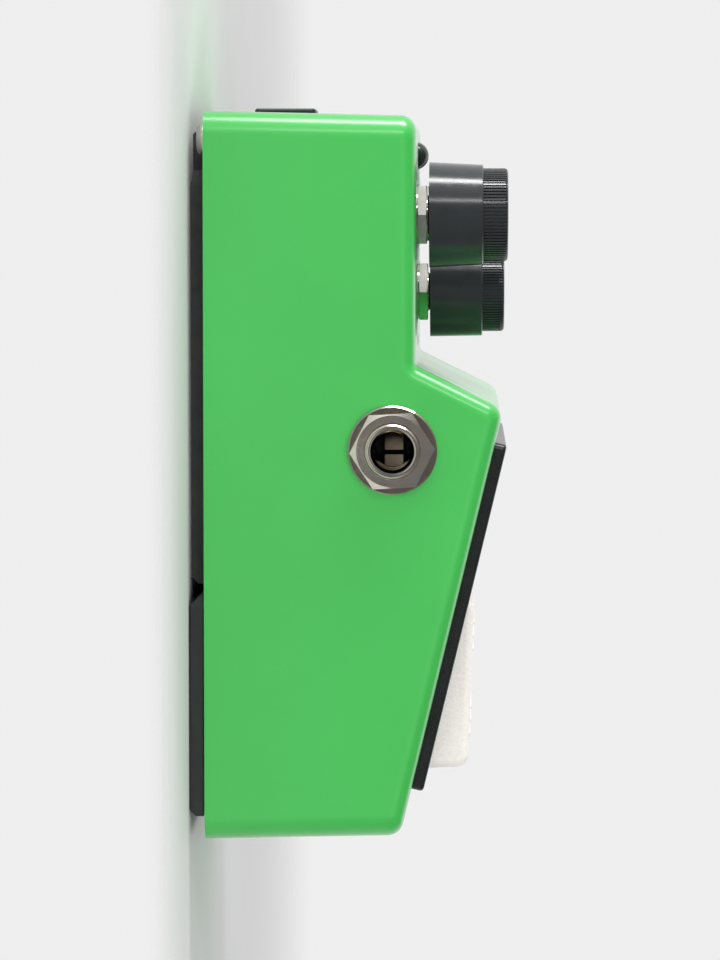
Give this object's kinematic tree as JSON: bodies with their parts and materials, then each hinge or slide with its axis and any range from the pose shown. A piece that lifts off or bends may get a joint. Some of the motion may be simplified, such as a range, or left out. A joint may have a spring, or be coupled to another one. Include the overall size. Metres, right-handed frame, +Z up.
{
  "type": "guitar effects pedal",
  "caption": "Compact stomp-box effects pedal: stepped die-cast casing, three knobs on the rear deck, a hinged treadle on a rubber mat, side jacks, rear power inlet and a battery door.",
  "frame": {"origin": "on the floor plane, under the middle of the casing, on the face of the rubber foot", "axes": "+X to the player's right, +Y to the rear, away from the treadle, +Z up through the knobs"},
  "size_m": [0.0812, 0.126, 0.0546],
  "materials": {
    "green_enamel": "gloss enamel",
    "plate_steel": "zinc plated, satin",
    "screw_steel": "bright zinc",
    "black_rubber": "matte",
    "black_plastic": "fine moulded grain",
    "knob_plastic": "semi gloss",
    "pointer_white": "semi gloss",
    "treadle_silver": "satin metallic",
    "nickel": "bright nickel",
    "shaft_metal": "turned",
    "spring_steel": "drawn wire",
    "can_steel": "satin",
    "phenolic": "matte",
    "board_green": "solder mask",
    "contact_metal": "bright",
    "chip_black": "matte",
    "can_blue": "shrink sleeve",
    "film_green": "dipped",
    "resistor_tan": "lacquer",
    "lamp_dark": "tinted lens, unlit",
    "battery_can": "printed metal",
    "foam_grey": "open-cell foam",
    "wire_red": "insulation",
    "wire_blue": "insulation"
  },
  "bodies": {
    "body": {"housing": "green_enamel", "base_plate": "plate_steel", "base_screws": "screw_steel", "rubber_foot": "black_rubber", "treadle_mat": "black_rubber", "treadle_bracket": "plate_steel", "bracket_screws": "screw_steel", "hinge_pin": "shaft_metal", "pin_clips": "spring_steel", "treadle_springs": "spring_steel", "pot_cans": "can_steel", "pot_bushings": "nickel", "pot_washers": "nickel", "pot_nuts": "nickel", "pot_wafers": "phenolic", "pot_terminals": "contact_metal", "main_board": "board_green", "op_amp": "chip_black", "electrolytic_capacitors": "can_blue", "film_capacitors": "film_green", "resistors": "resistor_tan", "transistors": "chip_black", "status_led": "lamp_dark", "led_leads": "contact_metal", "output_jack_body": "black_plastic", "input_jack_body": "black_plastic", "output_jack_sleeve": "nickel", "input_jack_sleeve": "nickel", "output_jack_contacts": "contact_metal", "input_jack_contacts": "contact_metal", "jack_washers": "nickel", "jack_nuts": "nickel", "dc_inlet_body": "black_plastic", "dc_inlet_pin": "contact_metal", "dc_inlet_contacts": "contact_metal", "battery": "battery_can", "battery_terminals": "contact_metal", "battery_snap": "black_plastic", "battery_leads": "wire_red", "switch_board": "board_green", "switch_case": "black_plastic", "switch_terminals": "contact_metal", "hook_up_wires": "wire_blue"},
    "drive_control": {"drive_knob": "knob_plastic", "drive_pointer": "pointer_white", "drive_shaft": "shaft_metal", "drive_wiper": "phenolic"},
    "tone_control": {"tone_knob": "knob_plastic", "tone_pointer": "pointer_white", "tone_shaft": "shaft_metal", "tone_wiper": "phenolic"},
    "level_control": {"level_knob": "knob_plastic", "level_pointer": "pointer_white", "level_shaft": "shaft_metal", "level_wiper": "phenolic"},
    "treadle": {"treadle": "treadle_silver"},
    "switch_plunger": {"switch_plunger": "black_plastic"},
    "battery_door": {"battery_door": "black_plastic", "door_foam": "foam_grey"}
  },
  "joints": [
    {"name": "drive_turn", "type": "hinge", "parent": "body", "child": "drive_control", "pos_m": [-0.022, 0.0443, 0.0388], "axis": [0, 0, 1], "range_deg": [-150, 150]},
    {"name": "tone_turn", "type": "hinge", "parent": "body", "child": "tone_control", "pos_m": [0, 0.0305, 0.0388], "axis": [0, 0, 1], "range_deg": [-150, 150]},
    {"name": "level_turn", "type": "hinge", "parent": "body", "child": "level_control", "pos_m": [0.022, 0.0443, 0.0388], "axis": [0, 0, 1], "range_deg": [-150, 150]},
    {"name": "treadle_hinge", "type": "hinge", "parent": "body", "child": "treadle", "pos_m": [0, -0.0195, 0.041], "axis": [1, 0, 0], "range_deg": [0, 4.5], "stiffness_Nm_per_rad": 0.75, "springref_deg": -8.31, "deforming": ["treadle_springs"]},
    {"name": "switch_press", "type": "slide", "parent": "body", "child": "switch_plunger", "axis": [0, 0, 1], "range_m": [-0.00182, 0]},
    {"name": "battery_door_hinge", "type": "hinge", "parent": "body", "child": "battery_door", "pos_m": [0, -0.0587, 0.0027], "axis": [1, 0, 0], "range_deg": [-60, 0]}
  ],
  "couplings": [
    {"joint": "switch_press", "follows": "treadle_hinge", "m_per_rad": -0.0227}
  ]
}
